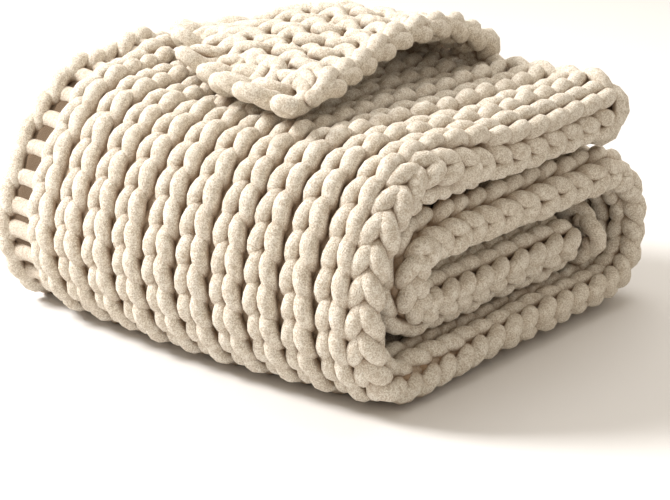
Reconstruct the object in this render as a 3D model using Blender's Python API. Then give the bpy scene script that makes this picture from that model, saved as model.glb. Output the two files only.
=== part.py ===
"""Chunky hand-knitted throw, doubled down its length and folded into a pack.

The throw is one length of cloth with nothing sewn on, so it is one closed solid.
It is first doubled lengthwise, which gives a strip of two plies with a soft fold
along its right edge and two open edges along its left.  The strip is then wound
on itself into four panels: the top one, down the front, the bottom one, up the
back, the middle one, round the inner fold, and the inner one.  The end of the top
ply is turned back over the top, and its corner lies forward as a pointed flap.

Units are metres and +Z is up.  The front fold faces -Y and the doubled edge faces
+X.  The origin lies on the surface that the pack rests on, under the middle of
its box.
"""

import math

import bmesh
import bpy
from mathutils import Vector

NODE_NAME = "blanket"
COLLECTION_NAME = "chunky_knit_blanket"

# Overall sizes of the folded pack.
PACK_WIDTH = 0.483
PLY_GAP = 0.004
NOSE_LENGTH = 0.018
NOSE_THICKNESS = 0.55

# Panels of the strip in the order that the strip runs.  Depths are measured back
# from the foot of the front fold and heights up from the resting surface, both to
# the middle of the strip.
PANEL_COLUMNS = (
    "name", "depth_start", "depth_end", "height_start", "height_end",
    "thickness_start", "thickness_end", "right_edge", "left_edge",
)
PANELS = (
    ("top", 0.322, 0.040, 0.1945, 0.1895, 0.066, 0.062, 0.480, 0.004),
    ("bottom", 0.002, 0.318, 0.0220, 0.0220, 0.044, 0.044, 0.483, 0.006),
    ("middle", 0.318, 0.045, 0.1330, 0.1325, 0.046, 0.046, 0.477, 0.012),
    ("inner", 0.045, 0.310, 0.0735, 0.0740, 0.050, 0.050, 0.472, 0.008),
)

# Folds between one panel and the next.  A reach is how far the fold's guide
# handles stand out past the ends of its panels.
FOLD_COLUMNS = ("name", "reach_start", "reach_end", "crown_thickness")
FOLDS = (
    ("front", 0.088, 0.072, 0.044),
    ("back", 0.074, 0.074, 0.044),
    ("inner", 0.039, 0.039, 0.042),
)

# How finely the strip is divided.
PANEL_STEPS = 6
FOLD_STEPS = 14
FLAT_STEPS = 5
EDGE_STEPS = 8

# The open ply edges lie in and out a little along the strip.
EDGE_WAVE = 0.004
EDGE_WAVE_LENGTH = 0.19

# How the pack has settled: it is lower at its left, its front is bowed, its upper
# front leans back at the left, and the left corner of the top panel's end has been
# pulled forward.
LEFT_SAG = 0.07
FRONT_BOW = 0.020
FRONT_BOW_DEPTH = 0.16
LEFT_LEAN = 0.030
LEFT_LEAN_HEIGHTS = (0.08, 0.19)
END_PULL = 0.12
END_PULL_WIDTH = 0.24

# The turned-back corner of the top ply.  Its forward edge runs across the pack
# from the left edge to the point of the corner.  A lift raises it off the top in
# its middle, or lowers it where the lift is negative.  The crest exponent sets how
# near to the turn the lift is greatest: 1 is half way, and less is nearer the turn.
FLAP_THICKNESS = 0.025
FLAP_ROOT_DEPTH = 0.295
FLAP_TURN_DEPTH = 0.312
FLAP_ROOT_HEIGHT = 0.2110
FLAP_RUN_HEIGHT = 0.2430
FLAP_CREST = 0.6
FLAP_TURN_STEPS = 8
FLAP_RUN_STEPS = 10
FLAP_COLUMNS = ("across", "forward_edge", "lift")
FLAP = (
    (0.022, 0.180, -0.006),
    (0.045, 0.165, -0.006),
    (0.085, 0.160, -0.004),
    (0.125, 0.126, 0.008),
    (0.155, 0.104, 0.020),
    (0.190, 0.086, 0.026),
    (0.225, 0.070, 0.024),
    (0.270, 0.046, 0.022),
    (0.310, 0.036, 0.024),
    (0.335, 0.042, 0.027),
    (0.350, 0.066, 0.028),
)

YARN_COLOUR = (0.70, 0.60, 0.46, 1.0)
YARN_ROUGHNESS = 0.95


def clear_scene():
    """Remove every object, so that the file can be run again."""
    for old in list(bpy.data.objects):
        bpy.data.objects.remove(old, do_unlink=True)


def ease(t):
    """Go smoothly from 0 to 1 as t does."""
    t = min(max(t, 0.0), 1.0)
    return t * t * (3.0 - 2.0 * t)


def mix(a, b, t):
    """Return the value a fraction t of the way from a to b."""
    return a + (b - a) * t


def bezier(p0, p1, p2, p3, t):
    """Return the point and the direction of a cubic curve at t."""
    s = 1.0 - t
    point = p0 * s**3 + p1 * 3 * s * s * t + p2 * 3 * s * t * t + p3 * t**3
    slope = (p1 - p0) * 3 * s * s + (p2 - p1) * 6 * s * t + (p3 - p2) * 3 * t * t
    return point, slope.normalized()


def panel_stations(panel):
    """Return the stations along one straight panel."""
    start = Vector((panel["depth_start"], panel["height_start"]))
    end = Vector((panel["depth_end"], panel["height_end"]))
    along = (end - start).normalized()
    stations = []
    for i in range(PANEL_STEPS + 1):
        t = i / PANEL_STEPS
        stations.append({
            "point": start.lerp(end, t),
            "along": along,
            "thickness": mix(panel["thickness_start"], panel["thickness_end"], t),
            "right": panel["right_edge"],
            "left": panel["left_edge"],
            "pull": 1.0 - t if panel["name"] == "top" else 0.0,
        })
    return stations


def fold_stations(before, fold, after):
    """Return the stations round the fold that joins two panels."""
    start = Vector((before["depth_end"], before["height_end"]))
    end = Vector((after["depth_start"], after["height_start"]))
    outward = math.copysign(1.0, before["depth_end"] - before["depth_start"])
    handle_start = start + Vector((outward * fold["reach_start"], 0.0))
    handle_end = end + Vector((outward * fold["reach_end"], 0.0))
    stations = []
    for i in range(1, FOLD_STEPS):
        t = i / FOLD_STEPS
        point, along = bezier(start, handle_start, handle_end, end, t)
        if t < 0.5:
            thickness = mix(before["thickness_end"], fold["crown_thickness"], ease(2.0 * t))
        else:
            thickness = mix(fold["crown_thickness"], after["thickness_start"], ease(2.0 * t - 1.0))
        stations.append({
            "point": point,
            "along": along,
            "thickness": thickness,
            "right": mix(before["right_edge"], after["right_edge"], ease(t)),
            "left": mix(before["left_edge"], after["left_edge"], ease(t)),
            "pull": 0.0,
        })
    return stations


def strip_stations():
    """Return the stations along the whole strip, with a thinner nose at each end."""
    panels = [dict(zip(PANEL_COLUMNS, row)) for row in PANELS]
    folds = [dict(zip(FOLD_COLUMNS, row)) for row in FOLDS]
    stations = panel_stations(panels[0])
    for before, fold, after in zip(panels, folds, panels[1:]):
        stations += fold_stations(before, fold, after)
        stations += panel_stations(after)
    return [nose(stations[0], -1.0)] + stations + [nose(stations[-1], 1.0)]


def nose(station, direction):
    """Return a thinner station just past the given end of the strip."""
    tip = dict(station)
    tip["point"] = station["point"] + station["along"] * NOSE_LENGTH * direction
    tip["thickness"] = station["thickness"] * NOSE_THICKNESS
    return tip


def end_pull(x):
    """Return how far forward the end of the top panel lies at a place across."""
    return END_PULL * (1.0 - ease(x / END_PULL_WIDTH))


def settle(x, depth, height):
    """Place a point of the neat pack where it lies in the settled one."""
    from_right = 1.0 - min(max(x / PACK_WIDTH, 0.0), 1.0)
    from_middle = 2.0 * x / PACK_WIDTH - 1.0
    near_front = 1.0 - ease(depth / FRONT_BOW_DEPTH)
    low, high = LEFT_LEAN_HEIGHTS
    lean = LEFT_LEAN * from_right**2 * ease((height - low) / (high - low))
    return Vector((
        x,
        depth + (FRONT_BOW * from_middle**2 + lean) * near_front,
        height * (1.0 - LEFT_SAG * from_right**2),
    ))


def hairpin(station, travelled):
    """Return the outer and the slit side of the doubled strip at one station.

    Both sides run from the open edge of the outer ply to the doubled fold at the
    right, and back to the open edge of the inner ply.
    """
    half = station["thickness"] / 2.0
    half_gap = PLY_GAP / 2.0
    fold_centre = station["right"] - half
    wave = EDGE_WAVE * math.sin(2.0 * math.pi * travelled / EDGE_WAVE_LENGTH)
    lefts = (station["left"] + wave, station["left"] + EDGE_WAVE - wave)
    outer, slit = [], []
    for i in range(FLAT_STEPS):
        x = mix(lefts[0], fold_centre, i / FLAT_STEPS)
        outer.append((x, half))
        slit.append((x, half_gap))
    for i in range(EDGE_STEPS + 1):
        angle = math.pi / 2.0 - math.pi * i / EDGE_STEPS
        outer.append((fold_centre + half * math.cos(angle), half * math.sin(angle)))
        slit.append((fold_centre + half_gap * math.cos(angle), half_gap * math.sin(angle)))
    for i in range(1, FLAT_STEPS + 1):
        x = mix(fold_centre, lefts[1], i / FLAT_STEPS)
        outer.append((x, -half))
        slit.append((x, -half_gap))
    normal = Vector((station["along"].y, -station["along"].x))
    sides = []
    for side in (outer, slit):
        points = []
        for x, offset in side:
            at = station["point"] + normal * offset
            points.append(settle(x, at.x - station["pull"] * end_pull(x), at.y))
        sides.append(points)
    return sides


def loft(shape, first, second, flip):
    """Join two rows of vertices with a band of faces."""
    for i in range(len(first) - 1):
        corners = [first[i], first[i + 1], second[i + 1], second[i]]
        shape.faces.new(reversed(corners) if flip else corners)


def strip_mesh():
    """Loft the doubled strip along the whole of its folded path."""
    stations = strip_stations()
    shape = bmesh.new()
    travelled = 0.0
    rows = []
    for i, station in enumerate(stations):
        if i:
            travelled += (station["point"] - stations[i - 1]["point"]).length
        outer, slit = hairpin(station, travelled)
        rows.append((
            [shape.verts.new(point) for point in outer],
            [shape.verts.new(point) for point in slit],
        ))
    for (outer_a, slit_a), (outer_b, slit_b) in zip(rows, rows[1:]):
        loft(shape, outer_a, outer_b, False)
        loft(shape, slit_a, slit_b, True)
        loft(shape, [slit_a[0], outer_a[0]], [slit_b[0], outer_b[0]], False)
        loft(shape, [outer_a[-1], slit_a[-1]], [outer_b[-1], slit_b[-1]], False)
    loft(shape, rows[0][0], rows[0][1], True)
    loft(shape, rows[-1][0], rows[-1][1], False)
    return shape


def flap_profile(column):
    """Return points and directions from the flap's root, round its turn, to its edge."""
    pull = end_pull(column["across"])
    root = Vector((FLAP_ROOT_DEPTH - pull, FLAP_ROOT_HEIGHT))
    turn = Vector((FLAP_TURN_DEPTH - pull, (FLAP_ROOT_HEIGHT + FLAP_RUN_HEIGHT) / 2.0))
    radius = turn.y - root.y
    profile = [(root, Vector((1.0, 0.0)))]
    for i in range(FLAP_TURN_STEPS + 1):
        angle = -math.pi / 2.0 + math.pi * i / FLAP_TURN_STEPS
        point = turn + Vector((math.cos(angle), math.sin(angle))) * radius
        profile.append((point, Vector((-math.sin(angle), math.cos(angle)))))
    for i in range(1, FLAP_RUN_STEPS + 1):
        t = i / FLAP_RUN_STEPS
        lift = column["lift"] * math.sin(math.pi * t**FLAP_CREST) ** 2
        depth = mix(turn.x, column["forward_edge"], t)
        profile.append((Vector((depth, FLAP_RUN_HEIGHT + lift)), Vector((-1.0, 0.0))))
    return profile


def flap_mesh():
    """Loft the turned-back corner as one thick ply."""
    shape = bmesh.new()
    half = FLAP_THICKNESS / 2.0
    columns = []
    for row in FLAP:
        column = dict(zip(FLAP_COLUMNS, row))
        x = column["across"]
        outside, inside = [], []
        for point, along in flap_profile(column):
            normal = Vector((along.y, -along.x))
            far = point + normal * half
            near = point - normal * half
            outside.append(shape.verts.new(settle(x, far.x, far.y)))
            inside.append(shape.verts.new(settle(x, near.x, near.y)))
        columns.append((outside, inside))
    for (outside_a, inside_a), (outside_b, inside_b) in zip(columns, columns[1:]):
        loft(shape, outside_a, outside_b, True)
        loft(shape, inside_a, inside_b, False)
        loft(shape, [inside_a[0], outside_a[0]], [inside_b[0], outside_b[0]], True)
        loft(shape, [outside_a[-1], inside_a[-1]], [outside_b[-1], inside_b[-1]], True)
    loft(shape, columns[0][0], columns[0][1], False)
    loft(shape, columns[-1][0], columns[-1][1], True)
    return shape


def finish_mesh(shape, name):
    """Turn all faces outwards and make the shape a mesh object."""
    bmesh.ops.recalc_face_normals(shape, faces=shape.faces)
    mesh = bpy.data.meshes.new(name)
    shape.to_mesh(mesh)
    shape.free()
    return bpy.data.objects.new(name, mesh)


def yarn_material():
    """Return the plain finish of the yarn."""
    material = bpy.data.materials.new("cream_yarn")
    material.use_nodes = True
    shader = material.node_tree.nodes["Principled BSDF"]
    shader.inputs["Base Color"].default_value = YARN_COLOUR
    shader.inputs["Roughness"].default_value = YARN_ROUGHNESS
    shader.inputs["Metallic"].default_value = 0.0
    return material


def join_flap(blanket, flap):
    """Join the flap to the strip, so that the cloth is one solid."""
    union = blanket.modifiers.new("join_flap", "BOOLEAN")
    union.operation = "UNION"
    union.solver = "EXACT"
    union.object = flap
    graph = bpy.context.evaluated_depsgraph_get()
    joined = bpy.data.meshes.new_from_object(blanket.evaluated_get(graph))
    blanket.modifiers.remove(union)
    blanket.data = joined
    blanket.data.name = NODE_NAME


def centre_on_origin(blanket):
    """Move the mesh so that the origin is under the middle of its box."""
    places = [vertex.co for vertex in blanket.data.vertices]
    middle_x = (min(p.x for p in places) + max(p.x for p in places)) / 2.0
    middle_y = (min(p.y for p in places) + max(p.y for p in places)) / 2.0
    lowest = min(p.z for p in places)
    for place in places:
        place -= Vector((middle_x, middle_y, lowest))


def main():
    """Build the folded throw."""
    clear_scene()
    pieces = bpy.data.collections.new(COLLECTION_NAME)
    cutters = bpy.data.collections.new("joining_shapes")
    for collection in (pieces, cutters):
        bpy.context.scene.collection.children.link(collection)
    blanket = finish_mesh(strip_mesh(), NODE_NAME)
    pieces.objects.link(blanket)
    flap = finish_mesh(flap_mesh(), "flap_shape")
    cutters.objects.link(flap)
    flap.hide_render = True
    flap.display_type = "WIRE"
    join_flap(blanket, flap)
    centre_on_origin(blanket)
    blanket.data.materials.clear()
    blanket.data.materials.append(yarn_material())


main()
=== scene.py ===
# %% [markdown]
# # A chunky knitted throw, folded
# The throw is knitted by hand from one very thick chenille yarn. Each stitch is a loop
# that is pulled through the loop below it, so a cloth of this knit is nothing but yarn.
# It could be faked with a bump on a smooth shape, but at this gauge a stitch is as big
# as a thumb and its shadow is half of the look, so every loop is modelled as real yarn.

# %% Load the frame
import math
from collections import namedtuple

import bpy
import numpy as np
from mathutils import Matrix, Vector


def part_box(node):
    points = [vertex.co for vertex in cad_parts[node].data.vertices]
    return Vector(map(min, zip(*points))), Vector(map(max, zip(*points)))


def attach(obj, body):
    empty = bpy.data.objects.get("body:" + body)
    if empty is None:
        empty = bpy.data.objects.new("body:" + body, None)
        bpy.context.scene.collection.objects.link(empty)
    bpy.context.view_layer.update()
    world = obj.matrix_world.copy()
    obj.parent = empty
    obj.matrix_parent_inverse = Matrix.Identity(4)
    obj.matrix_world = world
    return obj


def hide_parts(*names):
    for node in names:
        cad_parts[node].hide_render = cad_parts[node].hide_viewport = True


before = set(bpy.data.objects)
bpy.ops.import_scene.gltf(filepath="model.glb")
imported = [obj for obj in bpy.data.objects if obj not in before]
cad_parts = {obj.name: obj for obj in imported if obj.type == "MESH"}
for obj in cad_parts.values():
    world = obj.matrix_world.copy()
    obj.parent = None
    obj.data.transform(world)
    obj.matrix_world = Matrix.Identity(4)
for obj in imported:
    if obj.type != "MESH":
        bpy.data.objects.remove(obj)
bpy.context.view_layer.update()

low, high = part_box("blanket")
print("CAD box in mm:", [round(1000 * (b - a)) for a, b in zip(low, high)])

# %% [markdown]
# ## How the cloth is folded
# The throw is doubled down its length, and this strip of two plies is wound on itself
# into four panels. We describe the strip by a short table of panels and folds, the same
# as the solid part does. Simulated cloth would fold in its own way and miss the frame,
# so the folds are laid by these numbers.

# %% The folded strip in numbers
Panel = namedtuple("Panel", "name depth_a depth_b height_a height_b thick_a thick_b right")
Fold = namedtuple("Fold", "name reach_a reach_b crown")

PACK_WIDTH = 0.483
PANELS = (
    Panel("top", 0.322, 0.040, 0.1945, 0.1895, 0.066, 0.062, 0.480),
    Panel("bottom", 0.002, 0.318, 0.0220, 0.0220, 0.044, 0.044, 0.483),
    Panel("middle", 0.318, 0.045, 0.1330, 0.1325, 0.046, 0.046, 0.477),
    Panel("inner", 0.045, 0.310, 0.0735, 0.0740, 0.050, 0.050, 0.472),
)
FOLDS = (
    Fold("front", 0.088, 0.072, 0.044),
    Fold("back", 0.074, 0.074, 0.044),
    Fold("inner", 0.039, 0.039, 0.042),
)
PANEL_SAMPLES = 30
FOLD_SAMPLES = 60
DEPTH, HEIGHT, THICK, RIGHT = range(4)


def ease(t):
    """Go smoothly from 0 to 1 as t does."""
    t = np.clip(t, 0.0, 1.0)
    return t * t * (3.0 - 2.0 * t)


def ramp(value, start, end):
    """Go smoothly from 0 at start to 1 at end."""
    return ease((value - start) / (end - start))


def mix(a, b, t):
    """Return the value a fraction t of the way from a to b."""
    return a + (b - a) * t


def panel_rows(panel):
    """Return rows of depth, height, thickness and right edge along a flat panel."""
    t = np.linspace(0.0, 1.0, PANEL_SAMPLES)
    depth = mix(panel.depth_a, panel.depth_b, t)
    height = mix(panel.height_a, panel.height_b, t)
    thick = mix(panel.thick_a, panel.thick_b, t)
    return np.stack([depth, height, thick, np.full_like(t, panel.right)], 1)


def fold_rows(before, fold, after):
    """Return the same rows round the fold between two panels, along a cubic curve."""
    start = np.array([before.depth_b, before.height_b])
    end = np.array([after.depth_a, after.height_a])
    outward = np.array([math.copysign(1.0, before.depth_b - before.depth_a), 0.0])
    handle_a = start + outward * fold.reach_a
    handle_b = end + outward * fold.reach_b
    t = np.linspace(0.0, 1.0, FOLD_SAMPLES)[1:-1, None]
    s = 1.0 - t
    path = start * s**3 + handle_a * 3 * s * s * t + handle_b * 3 * s * t * t + end * t**3
    to_crown = mix(before.thick_b, fold.crown, ease(2 * t))
    from_crown = mix(fold.crown, after.thick_a, ease(2 * t - 1))
    thick = np.where(t < 0.5, to_crown, from_crown)
    return np.hstack([path, thick, mix(before.right, after.right, ease(t))])


rows = [panel_rows(PANELS[0])]
for before, fold, after in zip(PANELS, FOLDS, PANELS[1:]):
    rows += [fold_rows(before, fold, after), panel_rows(after)]
strip = np.vstack(rows)
print("strip samples:", len(strip))

# %% [markdown]
# ## The chart
# A knitter plans on a chart where one square is one stitch. Ours works the same way: a
# place on the cloth gets a wale number, counted from the doubled edge and less than zero
# on the outer ply, and a course number, counted from the free end of the top panel. The
# knit can then be drawn flat, which is easy, and wrapped round the folds afterwards.
# The first step measures the strip along its outer face, because that face shows.

# %% Measure the strip
YARN_RADIUS = 0.0074
COURSE_PITCH = 0.0277
FRONT_CLOSENESS = 0.08
FRONT_RISE, FRONT_FALL = (0.27, 0.35), (0.60, 0.52)
PUFF, PUFF_RUN = 0.007, (1.02, 1.16)
RUN_OFFSET = 0.012
RUN_STEP = 0.004
END_MARGIN = 0.060


def measure_run(rows):
    """Resample the strip so that its rows are evenly spaced along the outer ply."""
    tangent = np.gradient(rows[:, :2], axis=0)
    tangent /= np.linalg.norm(tangent, axis=1)[:, None]
    outward = np.stack([tangent[:, 1], -tangent[:, 0]], 1)
    path = rows[:, :2] + outward * RUN_OFFSET
    run = np.concatenate([[0.0], np.cumsum(np.linalg.norm(np.diff(path, axis=0), axis=1))])
    even = np.arange(-END_MARGIN, run[-1] + END_MARGIN, RUN_STEP)
    table = np.stack([np.interp(even, run, column) for column in rows.T], 1)
    for side, edge, limit in ((even < 0.0, 0, 0.0), (even > run[-1], -1, run[-1])):
        past = even[side] - limit
        table[side, :2] = rows[edge, :2] + past[:, None] * tangent[edge]
    return even, table, run[-1]


run_rows, strip_map, STRIP_LENGTH = measure_run(strip)
strip_map[:, THICK] += PUFF * ramp(run_rows, *PUFF_RUN)
tangents = np.gradient(strip_map[:, :2], axis=0)
tangents /= np.linalg.norm(tangents, axis=1)[:, None]
closeness = FRONT_CLOSENESS * ramp(run_rows, *FRONT_RISE) * ramp(run_rows, *FRONT_FALL)
course_rows = np.cumsum(RUN_STEP / (COURSE_PITCH * (1.0 - closeness)))
course_rows -= np.interp(0.0, run_rows, course_rows)
LAST_COURSE = float(np.interp(STRIP_LENGTH, run_rows, course_rows))
print("strip length in m:", round(float(STRIP_LENGTH), 3), "courses:", round(LAST_COURSE, 1))

# %% [markdown]
# The pack isn't as neat as its table. It sags to the left, where there is less in it, its
# front fold bows forward in the middle, and the top leans back at the left. These three
# moves are formulas on the finished points, so the same ones serve every later sheet.

# %% Where a place on the cloth lies in the pack
LEFT_SAG = 0.07
FRONT_BOW, FRONT_BOW_DEPTH = 0.020, 0.16
LEFT_LEAN, LEFT_LEAN_HEIGHTS = 0.030, (0.08, 0.19)
BACK_PROBES = (-0.2, 0.0)


def settle(x, depth, height):
    """Return points of the neat pack where they lie in the settled one."""
    from_right = 1.0 - np.clip(x / PACK_WIDTH, 0.0, 1.0)
    from_middle = 2.0 * x / PACK_WIDTH - 1.0
    near_front = 1.0 - ease(depth / FRONT_BOW_DEPTH)
    lean = LEFT_LEAN * from_right**2 * ramp(height, *LEFT_LEAN_HEIGHTS)
    depth = depth + (FRONT_BOW * from_middle**2 + lean) * near_front
    return np.stack([x, depth, height * (1.0 - LEFT_SAG * from_right**2)], -1)


def strip_points(across, rise=0.0):
    """Return the points of every row of the strip at places across it."""
    half = strip_map[:, THICK, None] / 2.0
    radius = half - YARN_RADIUS
    quarter = radius * math.pi / 2.0
    angle = np.clip(-across / radius, -math.pi / 2.0, math.pi / 2.0)
    beyond = np.maximum(np.abs(across) - quarter, 0.0)
    x = strip_map[:, RIGHT, None] - half + (radius + rise) * np.cos(angle) - beyond
    offset = (radius + rise) * np.sin(angle)
    depth = strip_map[:, DEPTH, None] + tangents[:, 1:] * offset
    height = strip_map[:, HEIGHT, None] - tangents[:, :1] * offset
    return settle(x, depth, height)


back = strip_points(np.array([BACK_PROBES]), YARN_RADIUS)[..., 1].max()
FRAME_SHIFT = np.array([high.x - PACK_WIDTH, high.y - back, 0.0])


def to_frame(points):
    """Move points from the neat pack's corner to the frame."""
    return points + FRAME_SHIFT


print("the pack's left front foot is at", FRAME_SHIFT.round(4))

# %% [markdown]
# ## The guide sheet
# The map itself is a mesh: a sheet through the middle of the outermost yarn, with wale
# and course numbers as its UV map. It is only a guide, and is thrown away at the end.
# Knitting never lies as even as its chart, so this is where the cloth gets its character.
# The wales spread towards the left, where the throw is pulled flat, the edge stitches
# hang loose on long rungs, the doubled edge wanders, and the top's left edge curls up.

# %% How far across each wale lies
WALES = 21
HALF_WALES = WALES / 2.0
WALE_PITCH = 0.0345
WALE_SPREAD = 0.00035
EDGE_WALE = HALF_WALES - 0.2
EDGE_LOOSENESS, LOOSE_WALES = 0.027, 0.4
TOP_EDGE_LOOSENESS, TOP_EDGE_RUN = 0.40, (0.20, 0.34)
TOP_SPREAD, TOP_SPREAD_START, TOP_SPREAD_WALE = 0.024, 0.3, 10.0
TOP_SPREAD_RISE, TOP_SPREAD_FALL = (0.05, 0.20), (0.50, 0.34)
OUTER_SHIFT = -0.009
EDGE_SHIFTS = (
    # run, shift of the edge wale, last wale that goes with it, first that doesn't
    (0.16, 0.0125, 1.5, 4.4),
    (0.30, -0.0155, 0.2, 0.9),
    (0.58, -0.0155, 0.2, 0.9),
    (0.72, 0.0000, 0.3, 1.3),
)


def across_of_wale(wale, run):
    """Return how far a wale number lies from the doubled edge, at a place along the run."""
    run_column, *shift_columns = np.array(EDGE_SHIFTS).T
    edge, last, first = (np.interp(run, run_column, column) for column in shift_columns)
    count = np.abs(wale)
    slack = EDGE_LOOSENESS * mix(TOP_EDGE_LOOSENESS, 1.0, ramp(run, *TOP_EDGE_RUN))
    spread = TOP_SPREAD * mix(TOP_SPREAD_START, 1.0, ramp(run, *TOP_SPREAD_RISE))
    spread = spread * ramp(run, *TOP_SPREAD_FALL) * (count / TOP_SPREAD_WALE) ** 2
    wider = WALE_SPREAD * count**2 + np.where(wale < 0.0, spread, 0.0)
    away = WALE_PITCH * count + wider + slack * ramp(count, EDGE_WALE, EDGE_WALE + LOOSE_WALES)
    far = np.where(wale < 0.0, OUTER_SHIFT, 0.0)
    return mix(edge, far, ramp(count, last, first)) + np.sign(wale) * away


outer_edge = float(-across_of_wale(-EDGE_WALE, STRIP_LENGTH / 2.0))
print("the edge wale lies", round(outer_edge, 3), "m from the doubled edge")

# %% How the top's left edge curls up
CURL_HEIGHT, CURL_WALE, CURL_FALL = 0.020, 7.0, (0.40, 0.25)
BACK_CURL, BACK_CURL_RUN = 0.10, (0.130, 0.210)
HUMP_HEIGHT, HUMP_WALES = 0.020, (9.4, 10.4)
HUMP_RUN, HUMP_REACH = 0.165, 0.075


def curl(wale, run, hump_height=HUMP_HEIGHT):
    """Return how far the left edge of the top panel curls up."""
    height = CURL_HEIGHT * ramp(-wale, CURL_WALE, HALF_WALES) * ramp(run, *CURL_FALL)
    height = height * mix(BACK_CURL, 1.0, ramp(run, *BACK_CURL_RUN))
    hump = ramp(-wale, *HUMP_WALES) * ramp(np.abs(run - HUMP_RUN), HUMP_REACH, 0.0)
    return height + hump_height * hump


print("highest curl in mm:", round(1000 * float(curl(-HALF_WALES, HUMP_RUN))))

# %% The guide sheet
CHART_SIZE = 100.0
CHART_MIDDLE = (0.5, 0.25)
BEND_WALES = 2.0
SPARE_WALES = 1.6
NEAR_STEP, FAR_STEP = 0.05, 0.2
LOOP_ROOM = 2.0 * YARN_RADIUS
LOOP_DEPTHS = (0.010, 0.015)


def grid_mesh(name, points, wale, course, **attributes):
    """Make a sheet from a grid of points, with its stitch numbers as a UV map."""
    n_rows, n_columns = points.shape[:2]
    corner = np.arange(n_rows * n_columns).reshape(n_rows, n_columns)
    around = [corner[:-1, :-1], corner[1:, :-1], corner[1:, 1:], corner[:-1, 1:]]
    faces = np.stack(around, -1).reshape(-1, 4)
    mesh = bpy.data.meshes.new(name)
    mesh.from_pydata(points.reshape(-1, 3), [], faces)
    uv = np.stack([wale, course], -1).reshape(-1, 2) / CHART_SIZE + CHART_MIDDLE
    mesh.uv_layers.new(name="chart").data.foreach_set("uv", uv[faces.ravel()].ravel())
    for key, values in attributes.items():
        mesh.attributes.new(key, "FLOAT", "POINT").data.foreach_set("value", values.ravel())
    mesh.shade_smooth()
    sheet = bpy.data.objects.new(name, mesh)
    bpy.context.scene.collection.objects.link(sheet)
    return sheet


far_wales = np.arange(BEND_WALES, HALF_WALES + SPARE_WALES, FAR_STEP)
near_wales = np.arange(NEAR_STEP - BEND_WALES, BEND_WALES - NEAR_STEP / 2.0, NEAR_STEP)
wale_columns = np.concatenate([-far_wales[::-1], near_wales, far_wales])
wale_grid, course_grid = np.meshgrid(wale_columns, course_rows)
depth_rows = np.clip(strip_map[:, THICK, None] / 2.0 - LOOP_ROOM, *LOOP_DEPTHS)
depth_grid = np.broadcast_to(depth_rows, wale_grid.shape)
strip_sheet = to_frame(strip_points(across_of_wale(wale_columns, run_rows[:, None])))
strip_sheet[..., 2] += curl(wale_grid, run_rows[:, None])
strip_guide = grid_mesh("strip_guide", strip_sheet, wale_grid, course_grid, loop_depth=depth_grid)
guides = [strip_guide]
print("guide sheet:", len(strip_guide.data.polygons), "faces")

# %% [markdown]
# ## The loop
# A course is one row of loops, made by one stretch of yarn that swings to and fro as it
# goes across. A sine gives the swing along the cloth, another at twice the rate makes
# each loop wider than its neck, and a third carries the legs to the front and the heads
# to the back. Drawing one stitch and copying it would leave a seam at every join, so
# Geometry Nodes bend a straight line by these sines, lay it on the guide sheet, and
# sweep a tube along it. One tree makes every course, chain and edge of the throw.

# %% Helpers for node trees
def add(tree, kind, inputs=None, **settings):
    """Add a node, choose its settings, and wire or set its inputs."""
    node = tree.nodes.new(kind)
    for name, value in settings.items():
        setattr(node, name, value)
    for place, value in (inputs or {}).items():
        if isinstance(value, bpy.types.NodeSocket):
            tree.links.new(value, node.inputs[place])
        else:
            node.inputs[place].default_value = value
    return node


def maths(tree, operation, *values):
    """Add a Math node and return its result."""
    return add(tree, "ShaderNodeMath", dict(enumerate(values)), operation=operation).outputs[0]


def vectors(tree, operation, *values):
    """Add a Vector Math node and return its vector."""
    inputs = dict(enumerate(values))
    return add(tree, "ShaderNodeVectorMath", inputs, operation=operation).outputs[0]


def scaled(tree, vector, amount):
    """Add a node that scales a vector, and return the result."""
    inputs = {0: vector, "Scale": amount}
    return add(tree, "ShaderNodeVectorMath", inputs, operation="SCALE").outputs[0]


def fade(tree, value, start, end, least=0.0):
    """Add a node that goes from the least at start to 1 at end, and return its result."""
    inputs = {"Value": value, "From Min": start, "From Max": end, "To Min": least}
    return add(tree, "ShaderNodeMapRange", inputs).outputs[0]


def tree_with_inputs(name, inputs):
    """Make a Geometry Nodes tree with a geometry input, named inputs and an output."""
    tree = bpy.data.node_groups.new(name, "GeometryNodeTree")
    tree.interface.new_socket("Geometry", in_out="INPUT", socket_type="NodeSocketGeometry")
    for label, kind, value in inputs:
        socket = tree.interface.new_socket(label, in_out="INPUT", socket_type=kind)
        if value is not None:
            socket.default_value = value
    tree.interface.new_socket("Geometry", in_out="OUTPUT", socket_type="NodeSocketGeometry")
    return tree, tree.nodes.new("NodeGroupInput").outputs


# %% The tree's inputs
SAMPLE_LENGTH, SIDES = 0.045, 10
KNIT_INPUTS = (
    ("Guide Sheet", "NodeSocketObject", None),
    ("Yarn", "NodeSocketMaterial", None),
    ("Loop Height", "NodeSocketFloat", 0.77),
    ("Loop Swing", "NodeSocketFloat", 0.95),
    ("Edge Wale Swing", "NodeSocketFloat", 0.60),
    ("Edge Wale Gather", "NodeSocketFloat", 0.22),
    ("Left Leg Drop", "NodeSocketFloat", 0.0032),
    ("Leg Gather", "NodeSocketFloat", 0.16),
    ("Leg Flatness", "NodeSocketFloat", 0.95),
    ("Yarn Radius", "NodeSocketFloat", YARN_RADIUS),
    ("Leg Swell", "NodeSocketFloat", 0.14),
    ("Edge Rung Swell", "NodeSocketFloat", 0.40),
    ("Unevenness", "NodeSocketFloat", 0.06),
    # Crease Shade sets how strongly painted shade darkens the pile where the yarn runs behind.
    ("Crease Shade", "NodeSocketFloat", 0.8),
    ("Sample Length", "NodeSocketFloat", SAMPLE_LENGTH),
    ("Sides", "NodeSocketInt", SIDES),
    ("Seed", "NodeSocketFloat", 3.0),
)
print("inputs with a value:", {label: value for label, _, value in KNIT_INPUTS if value})

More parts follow.
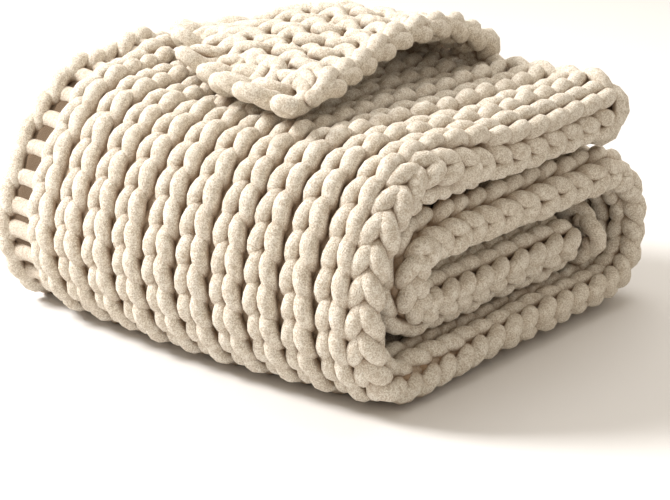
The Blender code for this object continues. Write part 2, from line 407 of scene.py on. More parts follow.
# %% [markdown]
# Lengths along the chart are in stitches, so a turn of the sine is one wale. The wale on
# the doubled edge is drawn wider, because it is bent round and shows both of its legs.
# At the side edges the yarn crosses from one course to the next on a straight rung.

# %% Bend the yarn into loops
ONE_TURN = 2.0 * math.pi
EDGE_WALE_FADE = (0.55, 0.45)
RUNG_FADE, RUNG_LIFT = (0.26, 0.06), 0.2
# Painted shade on the pile is halved past the edge wale and fades out near the strip's ends.
SHADE_FADE, SHADE_PAST_EDGE = (EDGE_WALE, EDGE_WALE - 0.1), 0.5
END_FADE = (0.6, 1.6)


def bent_line(tree, given, flat, turn):
    """Return how far the yarn swings to the side and along the cloth."""
    at_edge = fade(tree, maths(tree, "ABSOLUTE", flat[0]), *EDGE_WALE_FADE)
    amount = maths(tree, "MULTIPLY_ADD", at_edge, given["Edge Wale Swing"], given["Loop Swing"])
    twice = maths(tree, "SINE", maths(tree, "MULTIPLY", turn, 2.0))
    swing = maths(tree, "MULTIPLY", twice, amount)
    amount = maths(tree, "MULTIPLY_ADD", at_edge, given["Edge Wale Gather"], given["Leg Gather"])
    gather = maths(tree, "MULTIPLY", maths(tree, "SINE", turn), amount)
    sideways = maths(tree, "DIVIDE", maths(tree, "SUBTRACT", swing, gather), ONE_TURN)
    climb = maths(tree, "MULTIPLY", maths(tree, "COSINE", turn), given["Loop Height"])
    return sideways, climb


def depth_and_radius(tree, given, flat, turn):
    """Return how far behind the front the yarn runs, from 0 to 1, and its radius."""
    twice = maths(tree, "COSINE", maths(tree, "MULTIPLY", turn, 2.0))
    behind = maths(tree, "MULTIPLY_ADD", twice, 0.5, 0.5)
    behind = maths(tree, "POWER", behind, given["Leg Flatness"])
    from_rung = maths(tree, "SUBTRACT", maths(tree, "ABSOLUTE", flat[0]), HALF_WALES)
    at_rung = fade(tree, maths(tree, "ABSOLUTE", from_rung), *RUNG_FADE)
    lifted = maths(tree, "MULTIPLY_ADD", at_rung, -RUNG_LIFT, 1.0)
    behind = maths(tree, "MULTIPLY", behind, lifted)
    swell = maths(tree, "MULTIPLY", twice, given["Leg Swell"])
    radius = maths(tree, "MULTIPLY", given["Yarn Radius"], maths(tree, "SUBTRACT", 1.0, swell))
    thicker = maths(tree, "MULTIPLY_ADD", at_rung, given["Edge Rung Swell"], 1.0)
    return behind, maths(tree, "MULTIPLY", radius, thicker)


def crease_shade(tree, given, flat, behind):
    """Return how strongly painted shade darkens the pile where the yarn runs behind into the cloth."""
    inside = fade(tree, maths(tree, "ABSOLUTE", flat[0]), *SHADE_FADE, least=SHADE_PAST_EDGE)
    to_last = maths(tree, "SUBTRACT", LAST_COURSE, flat[1])
    covered = fade(tree, maths(tree, "MINIMUM", flat[1], to_last), *END_FADE)
    shade = maths(tree, "MULTIPLY", maths(tree, "MULTIPLY", behind, inside), covered)
    return maths(tree, "MULTIPLY", shade, given["Crease Shade"])


print("a rung starts at wale", HALF_WALES - RUNG_FADE[0])

# %% [markdown]
# No two loops of a hand knit are alike. A noise field moves each place a little along,
# across and through the cloth. It is read at the place on the chart, plus a seed, so the
# knit comes out the same each time it is made.

# %% Make the loops uneven
WANDER_PER_WALE = 0.9
WANDER_GAIN = 4.0


def wander(tree, given, place):
    """Return how far a hand's unevenness moves the yarn, in stitches, on three axes."""
    seed = add(tree, "ShaderNodeCombineXYZ", {2: given["Seed"]}).outputs[0]
    seeded = {"Vector": vectors(tree, "ADD", place, seed), "Scale": WANDER_PER_WALE, "Detail": 1.0}
    field = add(tree, "ShaderNodeTexNoise", seeded).outputs["Color"]
    centred = vectors(tree, "SUBTRACT", field, (0.5, 0.5, 0.5))
    moved = scaled(tree, scaled(tree, centred, given["Unevenness"]), WANDER_GAIN)
    return add(tree, "ShaderNodeSeparateXYZ", {0: moved}).outputs


print("one wander is about", round(1.0 / WANDER_PER_WALE, 1), "wales long")

# %% [markdown]
# Sample UV Surface is the loom: it finds the point of the guide sheet that has a given
# wale and course, and its normal tells which way is out of the cloth. The yarn is then
# set back from the sheet where it runs behind, and only the front of a loop stays on it.

# %% Lay the yarn on the guide
def chart_place(tree, wale, course):
    """Return the UV coordinates of a wale and a course."""
    return add(tree, "ShaderNodeCombineXYZ", {
        0: maths(tree, "MULTIPLY_ADD", wale, 1.0 / CHART_SIZE, CHART_MIDDLE[0]),
        1: maths(tree, "MULTIPLY_ADD", course, 1.0 / CHART_SIZE, CHART_MIDDLE[1]),
    }).outputs[0]


def laid_on_guide(tree, given, chart, behind, turn, wobble):
    """Return where the yarn's middle lies, from its place on the chart."""
    guide = add(tree, "GeometryNodeObjectInfo", {0: given["Guide Sheet"]}).outputs["Geometry"]
    named = "GeometryNodeInputNamedAttribute"
    chart_map = add(tree, named, {0: "chart"}, data_type="FLOAT_VECTOR").outputs[0]

    def from_guide(value, kind):
        inputs = {"Mesh": guide, "Value": value, "UV Map": chart_map, "Sample UV": chart}
        return add(tree, "GeometryNodeSampleUVSurface", inputs, data_type=kind).outputs["Value"]

    spot = from_guide(add(tree, "GeometryNodeInputPosition").outputs[0], "FLOAT_VECTOR")
    normal = from_guide(add(tree, "GeometryNodeInputNormal").outputs[0], "FLOAT_VECTOR")
    loop_depth = from_guide(add(tree, named, {0: "loop_depth"}, data_type="FLOAT").outputs[0], "FLOAT")
    sink = maths(tree, "MULTIPLY", loop_depth, behind)
    leftness = maths(tree, "MULTIPLY_ADD", maths(tree, "SINE", turn), -0.5, 0.5)
    sink = maths(tree, "MULTIPLY_ADD", leftness, given["Left Leg Drop"], sink)
    rise = maths(tree, "SUBTRACT", maths(tree, "MULTIPLY", wobble, COURSE_PITCH), sink)
    return vectors(tree, "ADD", spot, scaled(tree, normal, rise))


print("guide attributes:", [item.name for item in strip_guide.data.attributes][:4])

# %% [markdown]
# A tube is swept along the laid line. Each ring of it remembers how far along the yarn
# it is, and each side how far around, so that the pile can follow the yarn. The lowest
# yarn would dip into the floor where it is uneven, so the skin is held just above it,
# as its weight would press it flat.

# %% Sweep the yarn
REST_HEIGHT = 0.0004


def stored(tree, geometry, name, value):
    """Add a node that keeps a value as a named attribute, and return the geometry."""
    inputs = {"Geometry": geometry, "Name": name, "Value": value}
    return add(tree, "GeometryNodeStoreNamedAttribute", inputs).outputs[0]


def swept(tree, given, line, radius):
    """Return a tube of yarn along the line, smooth and resting on the floor."""
    circle = {"Resolution": given["Sides"], "Radius": 1.0}
    ring = add(tree, "GeometryNodeCurvePrimitiveCircle", circle).outputs[0]
    around = add(tree, "GeometryNodeSplineParameter").outputs["Factor"]
    ring = stored(tree, ring, "around", around)
    sweep = {"Curve": line, "Profile Curve": ring, "Scale": radius, "Fill Caps": True}
    tube = add(tree, "GeometryNodeCurveToMesh", sweep).outputs[0]
    skin = add(tree, "GeometryNodeInputPosition").outputs[0]
    skin = add(tree, "ShaderNodeSeparateXYZ", {0: skin}).outputs
    pressed = {0: skin[0], 1: skin[1], 2: maths(tree, "MAXIMUM", skin[2], REST_HEIGHT)}
    resting = add(tree, "ShaderNodeCombineXYZ", pressed).outputs[0]
    tube = add(tree, "GeometryNodeSetPosition", {"Geometry": tube, "Position": resting}).outputs[0]
    return add(tree, "GeometryNodeSetShadeSmooth", {"Geometry": tube}).outputs[0]


print("points in a stitch:", round(1.0 / SAMPLE_LENGTH), "rings of", SIDES)

# %% The knitting tree
def knitting_tree():
    """Bend straight course lines into loops, lay them on the guide sheet and sweep them."""
    tree, given = tree_with_inputs("knit_courses", KNIT_INPUTS)
    line = add(tree, "GeometryNodeMeshToCurve", {"Mesh": given["Geometry"]}).outputs[0]
    line = {"Curve": line, "Length": given["Sample Length"]}
    line = add(tree, "GeometryNodeResampleCurve", line, mode="LENGTH").outputs[0]
    place = add(tree, "GeometryNodeInputPosition").outputs[0]
    flat = add(tree, "ShaderNodeSeparateXYZ", {0: place}).outputs
    turn = maths(tree, "MULTIPLY", flat[0], ONE_TURN)
    sideways, climb = bent_line(tree, given, flat, turn)
    behind, radius = depth_and_radius(tree, given, flat, turn)
    uneven = wander(tree, given, place)
    wale = maths(tree, "ADD", maths(tree, "ADD", flat[0], sideways), uneven[0])
    course = maths(tree, "ADD", maths(tree, "ADD", flat[1], climb), uneven[1])
    chart = chart_place(tree, wale, course)
    spot = laid_on_guide(tree, given, chart, behind, turn, uneven[2])

    captured = add(tree, "GeometryNodeCaptureAttribute", {"Geometry": line})
    captured.capture_items.new("FLOAT", "radius")
    # The painted shade is kept on the yarn, for its material to darken the colour with.
    captured.capture_items.new("FLOAT", "sunk")
    tree.links.new(radius, captured.inputs[1])
    tree.links.new(crease_shade(tree, given, flat, behind), captured.inputs[2])
    laid = {"Geometry": captured.outputs[0], "Position": spot}
    laid = add(tree, "GeometryNodeSetPosition", laid).outputs[0]
    laid = stored(tree, laid, "along", add(tree, "GeometryNodeSplineParameter").outputs["Length"])
    laid = stored(tree, laid, "sunk", captured.outputs[2])
    tube = swept(tree, given, laid, captured.outputs[1])
    tube = add(tree, "GeometryNodeRealizeInstances", {"Geometry": tube}).outputs[0]
    tube = {"Geometry": tube, "Material": given["Yarn"]}
    add(tree, "NodeGroupOutput", {0: add(tree, "GeometryNodeSetMaterial", tube).outputs[0]})
    return tree


knit = knitting_tree()
print("knitting tree:", len(knit.nodes), "nodes")

# %% [markdown]
# ## Chenille
# Chenille is a short velvet pile round a core. It has no gloss at all, but its edges look
# paler because the pile catches light from the side, which is what sheen is for. Real
# hair on this much yarn would be far too heavy. The pile parts into small tufts and wider
# clumps, though, so a fine and a coarse noise in the colour and the bump read as pile.
# The colour is a random tone that is also darker where the bump is low, which is partly
# painted shade between the tufts. A third noise, stretched round the yarn, gives the rings
# where it crinkles. The shade between the loops is painted into the colour, warm and deep:
# the pile is painted darker where the yarn runs behind, and in the creases that the
# Ambient Occlusion node finds.

# %% The yarn's colours and scales
PILE_LIGHT = (0.99, 0.955, 0.87, 1.0)
# The dark pile colour is partly a random tone and partly painted shade between tufts.
PILE_DARK_TONE_AND_SHADE = (0.59, 0.50, 0.39, 1.0)
WARM_LOT = (0.97, 0.90, 0.78, 1.0)
# Painted shade colours, which the pile is mixed towards where the yarn runs behind, in creases and on
# the ground sheet.
PAINTED_SHADE_COLOUR = (0.36, 0.245, 0.155, 1.0)
DARKEST_PAINTED_SHADE = (0.13, 0.085, 0.05, 1.0)
SHEEN_TINT = (1.0, 0.94, 0.84, 1.0)
TUFTS_PER_METRE = 760.0
CLUMPS_PER_METRE = 110.0
LOTS_PER_METRE = 11.0
RINGS_PER_METRE = 300.0
RING_CHANGE = 0.9
TUFT_SHARE, CLUMP_SHARE, RING_SHARE = 0.62, 0.16, 0.22
PILE_TONE_AND_SHADE_RANGE = (0.412, 0.590)
# The stored painted shade over which the pile goes to each of the two painted shade colours.
PAINTED_SHADE_RANGE, DARKEST_SHADE_RANGE = (0.12, 0.8), (0.82, 1.0)
# Painted shade in creases: how far the Ambient Occlusion node looks, how its result maps to the
# painted shade colour, and its samples.
CREASE_REACH, CREASE_RANGE, CREASE_SAMPLES = 0.012, (0.68, 0.20), 6
TUFT_HEIGHT = 0.0028
print("a tuft is about", round(1000.0 / TUFTS_PER_METRE, 1), "mm across")
print("the rings round the yarn are about", round(1000.0 / RINGS_PER_METRE, 1), "mm apart")


# %% The yarn's finish
def noise(tree, vector, scale, detail, roughness=0.5):
    """Add a noise texture and return its value."""
    inputs = {"Vector": vector, "Scale": scale, "Detail": detail, "Roughness": roughness}
    return add(tree, "ShaderNodeTexNoise", inputs).outputs[0]


def blend(tree, amount, first, second):
    """Add a node that mixes two colours and return the result."""
    inputs = {0: amount, 6: first, 7: second}
    return add(tree, "ShaderNodeMix", inputs, data_type="RGBA").outputs[2]


def kept(tree, name):
    """Add a node that reads an attribute of the yarn and return its value."""
    return add(tree, "ShaderNodeAttribute", attribute_name=name).outputs["Fac"]


def pile_height(tree, place):
    """Return the height of the pile: fine tufts, larger clumps and rings round the yarn."""
    tufts = noise(tree, place, TUFTS_PER_METRE, 2.0, 0.7)
    clumps = noise(tree, place, CLUMPS_PER_METRE, 2.0)
    turn = maths(tree, "MULTIPLY", kept(tree, "around"), ONE_TURN)
    ring_place = add(tree, "ShaderNodeCombineXYZ", {
        0: maths(tree, "MULTIPLY", kept(tree, "along"), RINGS_PER_METRE),
        1: maths(tree, "MULTIPLY", maths(tree, "COSINE", turn), RING_CHANGE),
        2: maths(tree, "MULTIPLY", maths(tree, "SINE", turn), RING_CHANGE),
    }).outputs[0]
    rings = noise(tree, ring_place, 1.0, 2.0, 0.6)
    pile = maths(tree, "MULTIPLY_ADD", tufts, TUFT_SHARE, maths(tree, "MULTIPLY", clumps, CLUMP_SHARE))
    return maths(tree, "MULTIPLY_ADD", rings, RING_SHARE, pile)


def pile_colour(tree, place, pile):
    """Return the pile's colour: a random tone, darker where the pile is low, and painted shade behind
    and in creases.
    """
    lots = noise(tree, place, LOTS_PER_METRE, 1.0)
    light = blend(tree, lots, WARM_LOT, PILE_LIGHT)
    # Low pile takes the dark colour: partly a random tone, partly painted shade between tufts.
    colour = blend(tree, fade(tree, pile, *PILE_TONE_AND_SHADE_RANGE), PILE_DARK_TONE_AND_SHADE, light)
    # Painted shade where the yarn runs behind, and the darkest painted shade where the stored value
    # nears one.
    sunk = kept(tree, "sunk")
    colour = blend(tree, fade(tree, sunk, *PAINTED_SHADE_RANGE), colour, PAINTED_SHADE_COLOUR)
    colour = blend(tree, fade(tree, sunk, *DARKEST_SHADE_RANGE), colour, DARKEST_PAINTED_SHADE)
    # Painted shade in the creases that the Ambient Occlusion node finds.
    reach = {"Distance": CREASE_REACH}
    open_sky = add(tree, "ShaderNodeAmbientOcclusion", reach, samples=CREASE_SAMPLES).outputs["AO"]
    return blend(tree, fade(tree, open_sky, *CREASE_RANGE), colour, PAINTED_SHADE_COLOUR)


def chenille():
    """Return the material of the yarn."""
    material = bpy.data.materials.new("cream_chenille")
    material.use_nodes = True
    tree = material.node_tree
    shader = tree.nodes["Principled BSDF"]
    shader.inputs["Roughness"].default_value = 0.95
    shader.inputs["Specular IOR Level"].default_value = 0.1
    shader.inputs["Sheen Weight"].default_value = 0.22
    shader.inputs["Sheen Roughness"].default_value = 0.5
    shader.inputs["Sheen Tint"].default_value = SHEEN_TINT
    place = add(tree, "ShaderNodeTexCoord").outputs["Object"]
    pile = pile_height(tree, place)
    tree.links.new(pile_colour(tree, place, pile), shader.inputs["Base Color"])
    bump = add(tree, "ShaderNodeBump", {"Strength": 1.0, "Distance": TUFT_HEIGHT, "Height": pile})
    tree.links.new(bump.outputs[0], shader.inputs["Normal"])
    return material


yarn = chenille()
print("yarn material:", len(yarn.node_tree.nodes), "nodes")

# %% [markdown]
# ## Knitting the strip
# Courses lie about a pitch apart along the strip, and each is a straight line on the chart
# until the tree bends it. The whole throw could be one mesh, but it would be heavy to
# handle, so the course lines are grouped by panel, and each group becomes one piece.

# %% Helpers that knit
def line_mesh(name, points, edges):
    """Make an object of straight lines on the chart, at wale and course numbers."""
    mesh = bpy.data.meshes.new(name)
    mesh.from_pydata([(wale, course, 0.0) for wale, course in points], edges, [])
    piece = bpy.data.objects.new(name, mesh)
    bpy.context.scene.collection.objects.link(piece)
    return piece


def course_lines(name, lines):
    """Make lines on the chart, each from one wale to another on a course."""
    ends = [(wale, course) for first, last, course in lines for wale in (first, last)]
    return line_mesh(name, ends, [(i, i + 1) for i in range(0, len(ends), 2)])


def work(piece, tree, **values):
    """Run a tree on a piece with these inputs, and keep the result as a plain mesh."""
    modifier = piece.modifiers.new(tree.name, "NODES")
    modifier.node_group = tree
    sockets = {s.name: s.identifier for s in tree.interface.items_tree if s.in_out == "INPUT"}
    for label, value in values.items():
        modifier[sockets[label.replace("_", " ")]] = value
    graph = bpy.context.evaluated_depsgraph_get()
    mesh = bpy.data.meshes.new_from_object(piece.evaluated_get(graph))
    piece.modifiers.remove(modifier)
    piece.data = mesh
    mesh.name = piece.name
    return piece


def triangles(piece):
    """Return how many triangles a piece has."""
    return sum(len(polygon.vertices) - 2 for polygon in piece.data.polygons)


# %% The strip's courses
GROUPS = (
    # name, first course, first course of the next group
    ("top", 0, 11),
    ("front", 11, 23),
    ("bottom", 23, 36),
    ("middle", 36, 48),
    ("inner", 48, int(LAST_COURSE)),
)
COURSE_START = 0.4
EDGE_STITCH = HALF_WALES + 0.42
END_PULL, END_PULL_WIDTH, PULL_SAMPLES = 0.12, 0.24, 60
FLAT_TO_LEFT = 0.4867
COURSES_UNDER_FLAP = 1.5
FLAP_LEFT, FLAP_RIGHT = -10.8, -4.70


def end_pull(x):
    """Return how far the end of the top panel is pulled forward at a place across."""
    return END_PULL * (1.0 - ease(x / END_PULL_WIDTH))


def first_wale(course):
    """Return the wale where a course starts, since the top panel's end is pulled forward."""
    places = np.linspace(0.0, END_PULL_WIDTH, PULL_SAMPLES)
    x = np.interp(-(course + COURSES_UNDER_FLAP) * COURSE_PITCH, -end_pull(places), places)
    return min((FLAT_TO_LEFT - x) / WALE_PITCH, EDGE_STITCH)


pieces = []
for name, first, last in GROUPS:
    lines = [(-first_wale(c), first_wale(c), c + COURSE_START) for c in range(first, last)]
    if first == 0:
        lines[0] = (FLAP_RIGHT, *lines[0][1:])
    piece = work(course_lines(name + "_courses", lines), knit, Guide_Sheet=strip_guide, Yarn=yarn)
    pieces.append(piece)
    print(name, len(lines), "courses,", triangles(piece), "triangles")

# %% [markdown]
# ## The turned-back corner
# The end of the top ply is turned back over the top with its purl side up, so its heads
# and necks show as bumps instead of ribs. Turning the finished mesh would break the yarn
# at the fold. Instead it is knitted by the same tree on a guide sheet of its own, whose
# stitch numbers go on from the top panel and run backwards from the turn. The short
# table gives its slanted forward edge and how high it stands above the panel.

# %% The shape of the corner
FLAP_THICKNESS = 0.025
FLAP_ROOT_DEPTH, FLAP_TURN_DEPTH = 0.295, 0.312
FLAP_ROOT_HEIGHT, FLAP_RUN_HEIGHT = 0.2110, 0.2430
FLAP_CREST = 0.6
FLAP_SPARE, FLAP_LEAD = 0.045, 0.040
FLAP_DROOP, FLAP_DROOP_SHARE = 0.007, 0.16
FLAP_STEPS, TURN_STEPS, RUN_STEPS = 60, 12, 40
TIP_FLARE, TIP_FLARE_PLACE, TIP_FLARE_SHARE = 0.020, (0.22, 0.32), (0.50, 0.95)
FLAP_EDGE = (
    # place across, forward edge, lift
    (0.022, 0.200, -0.006),
    (0.060, 0.190, -0.006),
    (0.090, 0.168, -0.006),
    (0.125, 0.128, 0.006),
    (0.155, 0.104, 0.020),
    (0.190, 0.084, 0.026),
    (0.225, 0.068, 0.024),
    (0.270, 0.046, 0.022),
    (0.310, 0.034, 0.024),
    (0.335, 0.036, 0.027),
    (0.350, 0.066, 0.028),
)


def flap_profile(x):
    """Return depths and heights from the flap's root, round its turn, to its forward edge."""
    across, edges, lifts = np.array(FLAP_EDGE).T
    forward, lift = np.interp(x, across, edges), np.interp(x, across, lifts)
    turn_depth = FLAP_TURN_DEPTH - end_pull(x)
    radius = (FLAP_RUN_HEIGHT - FLAP_ROOT_HEIGHT) / 2.0
    angle = np.linspace(-math.pi / 2.0, math.pi / 2.0, TURN_STEPS)
    turn = [turn_depth + radius * np.cos(angle), FLAP_ROOT_HEIGHT + radius * (1.0 + np.sin(angle))]
    t = np.linspace(0.0, 1.0, RUN_STEPS)[1:]
    droop = FLAP_DROOP * ease(1.0 - (1.0 - t) / FLAP_DROOP_SHARE)
    rise = lift * np.sin(math.pi * t**FLAP_CREST) ** 2 - droop
    run = np.stack([mix(turn_depth, forward, t), FLAP_RUN_HEIGHT + rise], 1)
    spare = run[-1] - (FLAP_SPARE, 0.0)
    lead = (FLAP_ROOT_DEPTH - FLAP_LEAD - end_pull(x), FLAP_ROOT_HEIGHT)
    return np.vstack([lead, np.stack(turn, 1), run, spare])


def flap_column(x, rise=0.0):
    """Return evenly spaced places along the flap at x, raised to its knit side, and its length."""
    profile = flap_profile(x)
    length = np.concatenate([[0.0], np.cumsum(np.linalg.norm(np.diff(profile, axis=0), axis=1))])
    even = np.linspace(0.0, length[-1], FLAP_STEPS)
    places = np.stack([np.interp(even, length, side) for side in profile.T], 1)
    along = np.gradient(places, axis=0)
    along /= np.linalg.norm(along, axis=1)[:, None]
    knit_side = np.stack([-along[:, 1], along[:, 0]], 1)
    places = places + knit_side * rise
    flare = ramp(x, *TIP_FLARE_PLACE) * ramp(even / length[-1], *TIP_FLARE_SHARE)
    return settle(x + TIP_FLARE * flare, places[:, 0], places[:, 1]), even - FLAP_LEAD


print("the corner's middle is", round(flap_column(0.2)[1][-1] - FLAP_SPARE, 3), "m long")

# %% The corner's guide sheet
FLAP_WALES = (-13.2, -3.79, 0.2)
FLAP_LOOP_DEPTH = 0.0115
FLAP_HUMP = 0.006

flap_wales = np.arange(*FLAP_WALES)
flap_places = FLAT_TO_LEFT + OUTER_SHIFT + WALE_PITCH * flap_wales - WALE_SPREAD * flap_wales**2
flap_columns = [flap_column(x, FLAP_THICKNESS / 2.0 - YARN_RADIUS) for x in flap_places]
flap_points = to_frame(np.stack([points for points, _ in flap_columns], 1))
flap_run = np.stack([even for _, even in flap_columns], 1)
flap_wale_grid = np.broadcast_to(flap_wales, flap_run.shape)
run_below = PANELS[0].depth_a - (flap_points[..., 1] - FRAME_SHIFT[1])
flap_points[..., 2] += curl(flap_wale_grid, run_below, FLAP_HUMP)
flap_guide = grid_mesh(
    "flap_guide", flap_points[:, ::-1], flap_wale_grid[:, ::-1], -flap_run[:, ::-1] / COURSE_PITCH,
    loop_depth=np.full(flap_run.shape, FLAP_LOOP_DEPTH),
)
guides.append(flap_guide)
print("corner:", round(flap_places[0], 3), "to", round(flap_places[-1], 3), "m across")

# %% Knit the corner
FLAP_FIRST = 0.55
PURL_SIDE = {"Left_Leg_Drop": 0.0, "Crease_Shade": 0.0}

flap_lengths = flap_run[-1] - FLAP_SPARE
lines = []
for course in np.arange(FLAP_FIRST, flap_lengths.max() / COURSE_PITCH):
    reaches = flap_wales[(flap_lengths >= course * COURSE_PITCH) & (flap_wales > FLAP_LEFT)]
    if len(reaches):
        lines.append((float(reaches[0]), FLAP_RIGHT, -float(course)))
flap = work(
    course_lines("corner_courses", lines), knit, Guide_Sheet=flap_guide, Yarn=yarn,
    Unevenness=0.10, **PURL_SIDE,
)
pieces.append(flap)
print("corner:", len(lines), "courses,", triangles(flap), "triangles")

# %% [markdown]
# ## The slanted edge
# The corner's forward edge is where the throw was cast on: a row of loops wound on by
# hand before the first course, thicker and taller than the rest. It cuts across the
# wales here, so no straight course line gives it. A line that follows the edge on the
# chart does, and the same tree winds the loops on it, with a fatter yarn.

# %% Cast on the slanted edge
CAST_ON_SETBACK, CAST_ON_REACH = 0.15, 0.45
CAST_ON_LOOPS = {"Loop_Height": 1.15, "Loop_Swing": 0.75, "Yarn_Radius": 0.0084, "Unevenness": 0.14}


def cast_on_line():
    """Make one line that follows the slanted edge on the chart."""
    chosen = (flap_wales > FLAP_LEFT) & (flap_wales < FLAP_RIGHT + CAST_ON_REACH)
    edge = -flap_lengths[chosen] / COURSE_PITCH + CAST_ON_SETBACK
    places = [(float(wale), float(course)) for wale, course in zip(flap_wales[chosen], edge)]
    return line_mesh("cast_on_edge", places, [(i, i + 1) for i in range(len(places) - 1)])


cast_on = work(
    cast_on_line(), knit, Guide_Sheet=flap_guide, Yarn=yarn, **CAST_ON_LOOPS, **PURL_SIDE,
)
print("cast-on edge:", triangles(cast_on), "triangles")

# %% [markdown]
# ## Edge chains
# The other ends of a knit are finished with a chain, which is one column of stitches
# that runs along the edge. A twisted rope would look alike from far away, but its links
# don't interlock. The same tree makes the real thing: the guide sheet is a narrow one,
# wrapped round the edge like a tube, with room for a single wale.

# %% A chain along a path
CHAIN_RADIUS = 0.0085
CHAIN_TURN = math.radians(230.0)
CHAIN_LINK, FIRST_LINK = 0.029, 0.9
CHAIN_STEP = 0.004
CHAIN_HALF_WALE = 0.56
CHAIN_COLUMNS = np.linspace(-0.78, 0.78, 27)
# The chains get a weaker painted shade where their yarn runs behind.
CHAIN_DEPTH, CHAIN_SHADE = 0.012, 0.3


def unit(arrows):
    """Return arrows of length one that point the same way."""
    return arrows / np.linalg.norm(arrows, axis=-1, keepdims=True)


def chain_guide(name, path, facing):
    """Make a narrow guide sheet round a path, and return it with the number of links."""
    length = np.concatenate([[0.0], np.cumsum(np.linalg.norm(np.diff(path, axis=0), axis=1))])
    even = np.arange(0.0, length[-1], CHAIN_STEP)
    path = np.stack([np.interp(even, length, side) for side in path.T], 1)
    facing = np.stack([np.interp(even, length, side) for side in facing.T], 1)
    along = unit(np.gradient(path, axis=0))
    facing = unit(facing - along * np.sum(facing * along, axis=1, keepdims=True))
    sideways = np.cross(facing, along)
    cosine, sine = np.cos(CHAIN_COLUMNS * CHAIN_TURN), np.sin(CHAIN_COLUMNS * CHAIN_TURN)
    ring = cosine[None, :, None] * facing[:, None] + sine[None, :, None] * sideways[:, None]
    wale_grid, course_grid = np.meshgrid(CHAIN_COLUMNS, even / CHAIN_LINK)
    points = path[:, None] + CHAIN_RADIUS * ring
    depth_grid = np.full(wale_grid.shape, CHAIN_DEPTH)
    guide = grid_mesh(name + "_guide", points, wale_grid, course_grid, loop_depth=depth_grid)
    return guide, int(even[-1] / CHAIN_LINK - 1.0)


def knit_chain(name, path, facing):
    """Knit a chain along a path, with its links turned to the way it faces."""
    guide, count = chain_guide(name, path, facing)
    guides.append(guide)
    links = [(-CHAIN_HALF_WALE, CHAIN_HALF_WALE, c + FIRST_LINK) for c in range(count)]
    chain = course_lines(name, links)
    print(name, count, "links")
    return work(chain, knit, Guide_Sheet=guide, Yarn=yarn, Left_Leg_Drop=0.0, Crease_Shade=CHAIN_SHADE)


# %% Chain the edges
TOP_END_WIDTH, INNER_END_WIDTH = 0.27, 0.44
END_SAMPLES, END_INSET, PROBE_RISE = 200, 0.005, 0.01
END_OUTWARD, END_BEYOND = 0.6, 0.8
CORNER_PLACE = 0.320
CORNER_PROUD = -0.004
CORNER_FACING = (0.75, -0.2, 0.60)


def end_path(run, onwards, half_width):
    """Return the places along an end of the strip, round its doubled edge, and their facing."""
    row = int(np.argmin(np.abs(run_rows - run)))
    across = np.linspace(-half_width, half_width, END_SAMPLES)[None]
    here = strip_points(across)[row]
    outward = unit(strip_points(across, PROBE_RISE)[row] - here)
    beyond = unit(strip_points(across)[row + onwards] - here)
    return to_frame(here - outward * END_INSET), outward * END_OUTWARD + beyond * END_BEYOND


def corner_path():
    """Return the places along the right edge of the corner, from its tip back, and their facing."""
    points, length = flap_column(CORNER_PLACE)
    tip = length[-1] - FLAP_SPARE + CORNER_PROUD
    path = points[(length < tip) & (length > 0.0)][::-1]
    return to_frame(path), np.broadcast_to(CORNER_FACING, path.shape)


pieces.append(knit_chain("top_end_chain", *end_path(0.0, -1, TOP_END_WIDTH)))
pieces.append(knit_chain("inner_end_chain", *end_path(STRIP_LENGTH, 1, INNER_END_WIDTH)))
pieces.append(knit_chain("corner_chain", *corner_path()))
pieces.append(cast_on)

# %% [markdown]
# ## The cloth behind the loops
# Between two ribs one sees the backs of the loops, and behind them the next ply. Yarn
# can't be modelled all the way in, so a thin sheet lies on the folds, inside the knit,
# in the shade of the pile, and that shade is painted into its colour. It closes the view.
# Its painted shade is darkest at the edges, where the rungs stand apart and one looks
# deepest into the folds.

# %% The ground sheet
SHEET_THICKNESS = 0.0025
GROUND_SINK = 0.8
# The ground's colour is painted shade: this is its strength, rising to full and to the darkest painted
# shade at the wales near the edges.
GROUND_SHADE = 0.60
DARK_WALES = (EDGE_WALE - 0.8, EDGE_WALE - 0.3)
GROUND_HALF_WIDTH = HALF_WALES + 0.3
GROUND_ROW_STEP, GROUND_NEAR_STEP, GROUND_FAR_STEP = 3, 0.1, 0.25
END_ROOM = 0.012


def ground_wales():
    """Return the wales of the ground, which ends where each course of the knit does."""
    far = np.arange(BEND_WALES, GROUND_HALF_WIDTH, GROUND_FAR_STEP)
    near = np.arange(-BEND_WALES, BEND_WALES, GROUND_NEAR_STEP)[1:]
    wales = np.concatenate([-far[::-1], near, far])
    limits = np.array([min(first_wale(course), GROUND_HALF_WIDTH) for course in course_rows])
    share = (limits[:, None] - BEND_WALES) / (far[-1] - BEND_WALES)
    past_bend = np.maximum(np.abs(wales) - BEND_WALES, 0.0)
    return np.sign(wales) * (np.abs(wales) - past_bend + past_bend * share)


def ground_sheet():
    """Return the thin sheet inside the knit."""
    wale = ground_wales()
    across = across_of_wale(wale, run_rows[:, None])
    points = to_frame(strip_points(across, -depth_rows * GROUND_SINK))
    points[..., 2] += curl(wale, run_rows[:, None])
    inside = (run_rows > END_ROOM) & (run_rows < STRIP_LENGTH - END_ROOM)
    chosen = np.flatnonzero(inside)[::GROUND_ROW_STEP]
    course = np.broadcast_to(course_rows[:, None], wale.shape)
    # Painted shade on the ground, darkest at the wales near the edges.
    shade = mix(GROUND_SHADE, 1.0, ramp(np.abs(wale[chosen]), *DARK_WALES))
    sheet = grid_mesh("blanket_ground", points[chosen], wale[chosen], course[chosen], sunk=shade)
    solid = sheet.modifiers.new("thickness", "SOLIDIFY")
    solid.thickness = SHEET_THICKNESS
    solid.offset = 0.0
    graph = bpy.context.evaluated_depsgraph_get()
    mesh = bpy.data.meshes.new_from_object(sheet.evaluated_get(graph))
    sheet.modifiers.remove(solid)
    sheet.data = mesh
    mesh.materials.append(yarn)
    return sheet


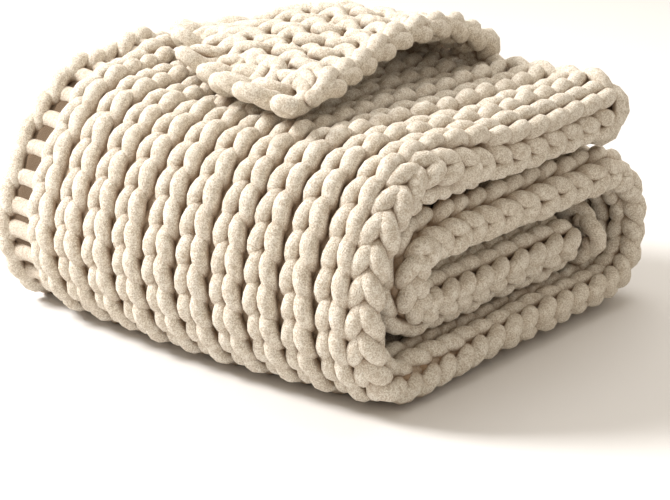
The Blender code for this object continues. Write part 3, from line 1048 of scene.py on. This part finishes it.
ground = ground_sheet()
print("ground sheet:", triangles(ground), "triangles")
print("in all:", sum(triangles(piece) for piece in [ground] + pieces), "triangles")

# %% [markdown]
# ## The studio
# Pale yarn shows best on a pale floor, with one strong soft light from the left that
# rakes across the ribs, and a weak one from above and behind. The sky is a warm fill,
# because the light that reaches the creases has bounced off cream yarn on its way. The
# floor is one large square with a matt paper finish.

# %% Floor
FLOOR_HALF = 4.0
FLOOR_COLOUR = (0.78, 0.765, 0.75, 1.0)


def plain_floor():
    """Return a wide pale floor."""
    mesh = bpy.data.meshes.new("floor")
    h = FLOOR_HALF
    mesh.from_pydata([(-h, -h, 0.0), (h, -h, 0.0), (h, h, 0.0), (-h, h, 0.0)], [], [(0, 1, 2, 3)])
    floor = bpy.data.objects.new("floor", mesh)
    bpy.context.scene.collection.objects.link(floor)
    material = bpy.data.materials.new("floor_paper")
    material.use_nodes = True
    shader = material.node_tree.nodes["Principled BSDF"]
    shader.inputs["Base Color"].default_value = FLOOR_COLOUR
    shader.inputs["Roughness"].default_value = 0.9
    mesh.materials.append(material)
    return floor


floor = plain_floor()
print("floor:", 2.0 * FLOOR_HALF, "m square")

# %% [markdown]
# The camera looks down on the front right corner from a little way off, through a long
# lens, so that the pack keeps its square shape and the far edges don't shrink much.

# %% Camera
CAMERA_PLACE = (1.0815, -1.2351, 0.6046)
CAMERA_AZIMUTH = 40.605
CAMERA_ELEVATION = 18.70
LENS_MM, SENSOR_MM = 96.7, 36.0


def place_camera():
    """Put the camera where it looks down on the corner of the pack."""
    camera = bpy.data.objects.new("camera", bpy.data.cameras.new("camera"))
    bpy.context.scene.collection.objects.link(camera)
    tilt, turn = math.radians(90.0 - CAMERA_ELEVATION), math.radians(CAMERA_AZIMUTH)
    camera.location = CAMERA_PLACE
    camera.rotation_euler = (tilt, 0.0, turn)
    camera.data.lens = LENS_MM
    camera.data.sensor_width = SENSOR_MM
    bpy.context.scene.camera = camera
    return camera


camera = place_camera()
print("camera:", round(camera.location.length, 2), "m from the middle of the pack")

# %% Lights
LIGHT_TARGET = (0.0, 0.0, 0.1)
LIGHTS = (
    # name, place, size, power, colour
    ("key", (-1.7, -1.2, 1.8), 0.7, 105.0, (1.0, 0.99, 0.985)),
    ("top", (-0.3, 0.9, 2.2), 1.6, 23.0, (1.0, 0.99, 0.97)),
)
SKY_COLOUR, SKY_STRENGTH = (1.0, 0.905, 0.78, 1.0), 0.62


def soft_light(name, place, size, power, colour):
    """Add a large square light that shines at the pack."""
    light = bpy.data.objects.new(name, bpy.data.lights.new(name, "AREA"))
    bpy.context.scene.collection.objects.link(light)
    light.location = place
    aim = Vector(LIGHT_TARGET) - Vector(place)
    light.rotation_euler = aim.to_track_quat("-Z", "Y").to_euler()
    light.data.size = size
    light.data.energy = power
    light.data.color = colour
    return light


def warm_sky():
    """Fill the shade with an even warm light."""
    world = bpy.data.worlds.new("studio")
    world.use_nodes = True
    background = world.node_tree.nodes["Background"]
    background.inputs["Color"].default_value = SKY_COLOUR
    background.inputs["Strength"].default_value = SKY_STRENGTH
    bpy.context.scene.world = world


for row in LIGHTS:
    soft_light(*row)
warm_sky()
bpy.context.scene.view_settings.view_transform = "Standard"
print("lights:", [row[0] for row in LIGHTS])

# %% [markdown]
# ## Last steps
# The guide sheets have done their work and go. Every piece rides on the throw's only
# body, since cloth has no joints, and the solid part is hidden.

for guide in guides:
    bpy.data.objects.remove(guide, do_unlink=True)
for piece in [ground] + pieces:
    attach(piece, "root")
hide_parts("blanket")
